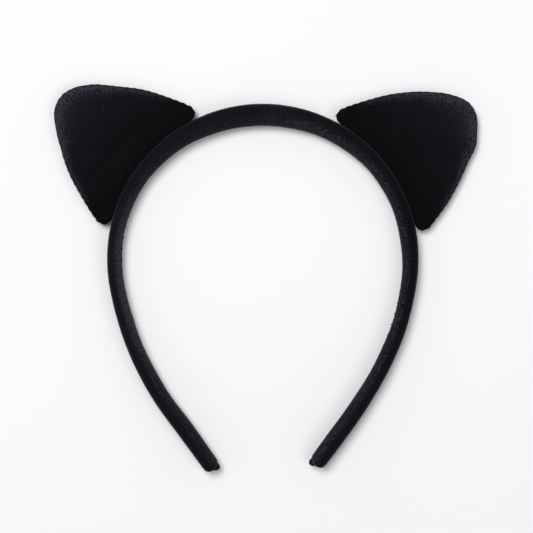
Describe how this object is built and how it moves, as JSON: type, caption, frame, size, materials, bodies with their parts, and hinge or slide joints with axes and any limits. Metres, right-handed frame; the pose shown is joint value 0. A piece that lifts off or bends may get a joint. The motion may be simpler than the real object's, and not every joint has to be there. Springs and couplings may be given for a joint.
{
  "type": "animal ears headband",
  "caption": "Padded velvet headband with stuffed cat ears: arms that spring open at the crown and ears that lean to front and back.",
  "frame": {"origin": "centre of the bounding box in plan, on the plane the hoop's back edge lies on", "axes": "+Z is the hoop's width, from its back edge to its front edge; +Y runs from the open ends to the crown; +X runs to the right-hand ear seen from the front"},
  "size_m": [0.178, 0.1622, 0.012],
  "materials": {
    "velvet": "black velvet, short pile",
    "thread": "black sewing thread",
    "foam": "soft foam and fibre stuffing",
    "hoop": "moulded, matt"
  },
  "bodies": {
    "crown": {"crown_hoop": "hoop", "crown_outer_foam": "foam", "crown_inner_foam": "foam", "crown_velvet": "velvet", "crown_ladder_stitches": "thread"},
    "left_arm": {"left_arm_hoop": "hoop", "left_arm_outer_foam": "foam", "left_arm_inner_foam": "foam", "left_arm_velvet": "velvet", "left_arm_ladder_stitches": "thread", "left_end_pad": "foam", "left_end_knot": "velvet"},
    "right_arm": {"right_arm_hoop": "hoop", "right_arm_outer_foam": "foam", "right_arm_inner_foam": "foam", "right_arm_velvet": "velvet", "right_arm_ladder_stitches": "thread", "right_end_pad": "foam", "right_end_knot": "velvet"},
    "left_ear": {"left_ear_front": "velvet", "left_ear_back": "velvet", "left_ear_foam": "foam", "left_ear_seam_stitches": "thread", "left_ear_base_stitches": "thread"},
    "right_ear": {"right_ear_front": "velvet", "right_ear_back": "velvet", "right_ear_foam": "foam", "right_ear_seam_stitches": "thread", "right_ear_base_stitches": "thread"}
  },
  "joints": [
    {"name": "left_arm_flex", "type": "hinge", "parent": "crown", "child": "left_arm", "pos_m": [-0.01612, 0.0674, 0.006], "axis": [0, 0, -1], "range_deg": [-4, 12], "stiffness_Nm_per_rad": 1.3},
    {"name": "right_arm_flex", "type": "hinge", "parent": "crown", "child": "right_arm", "pos_m": [0.01372, 0.0674, 0.006], "axis": [0, 0, 1], "range_deg": [-4, 12], "stiffness_Nm_per_rad": 1.3},
    {"name": "left_ear_lean", "type": "hinge", "parent": "left_arm", "child": "left_ear", "pos_m": [-0.05233, 0.04881, 0.006], "axis": [0.628, 0.7782, 0], "range_deg": [-30, 30], "stiffness_Nm_per_rad": 0.05},
    {"name": "right_ear_lean", "type": "hinge", "parent": "right_arm", "child": "right_ear", "pos_m": [0.05155, 0.04672, 0.006], "axis": [0.5962, -0.8028, 0], "range_deg": [-30, 30], "stiffness_Nm_per_rad": 0.05}
  ]
}
